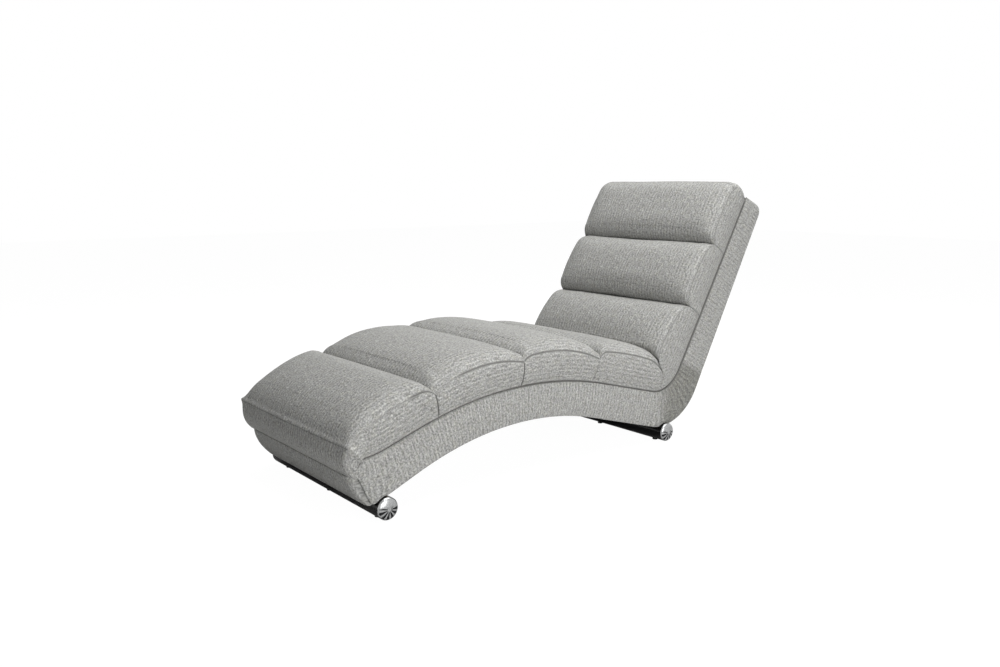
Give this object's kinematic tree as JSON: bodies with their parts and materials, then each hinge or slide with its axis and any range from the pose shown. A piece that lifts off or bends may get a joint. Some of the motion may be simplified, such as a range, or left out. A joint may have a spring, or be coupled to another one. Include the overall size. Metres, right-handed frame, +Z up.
{
  "type": "upholstered wave lounger",
  "caption": "Upholstered wave-shaped chaise longue: grey woven channel pads on a curved padded frame, standing on two black foot tubes with domed chrome caps.",
  "frame": {"origin": "on the floor, at the middle of the width and of the length of the whole lounger", "axes": "+X to the side seen in the picture, +Y from the foot end to the head end, +Z up"},
  "size_m": [0.614, 1.647, 0.8362],
  "materials": {
    "grey_weave": "structured chenille weave with pale flecks",
    "underside_cloth": "thin black non-woven dust cloth",
    "deck_felt": "pressed fibre felt",
    "webbing": "woven elastic webbing",
    "frame_wood": "raw sawn beech and plywood",
    "steel_fastener": "zinc plated",
    "black_tube": "gloss black powder coat",
    "chrome_cap": "bright chrome plate",
    "black_glide": "moulded black plastic"
  },
  "bodies": {
    "root": {"foot_pad": "grey_weave", "calf_pad": "grey_weave", "thigh_pad": "grey_weave", "seat_pad": "grey_weave", "lumbar_pad": "grey_weave", "shoulder_pad": "grey_weave", "head_pad": "grey_weave", "side_cover_left": "grey_weave", "side_cover_right": "grey_weave", "nose_cover": "grey_weave", "back_cover": "grey_weave", "underside_cloth": "underside_cloth", "deck_felt": "deck_felt", "seat_webbing": "webbing", "back_webbing": "webbing", "side_panel_left": "frame_wood", "side_panel_right": "frame_wood", "nose_rail": "frame_wood", "calf_rail": "frame_wood", "thigh_rail": "frame_wood", "seat_rail": "frame_wood", "hip_rail": "frame_wood", "lumbar_rail": "frame_wood", "shoulder_rail": "frame_wood", "head_rail": "frame_wood", "front_foot_plank": "frame_wood", "rear_foot_plank": "frame_wood", "frame_screws": "steel_fastener", "tube_bolts": "steel_fastener", "tube_washers": "steel_fastener", "tee_nuts": "steel_fastener", "front_tube": "black_tube", "rear_tube": "black_tube", "front_cap_left": "chrome_cap", "front_cap_right": "chrome_cap", "rear_cap_left": "chrome_cap", "rear_cap_right": "chrome_cap", "front_glide_left": "black_glide", "front_glide_middle": "black_glide", "front_glide_right": "black_glide", "rear_glide_left": "black_glide", "rear_glide_middle": "black_glide", "rear_glide_right": "black_glide"}
  },
  "joints": []
}
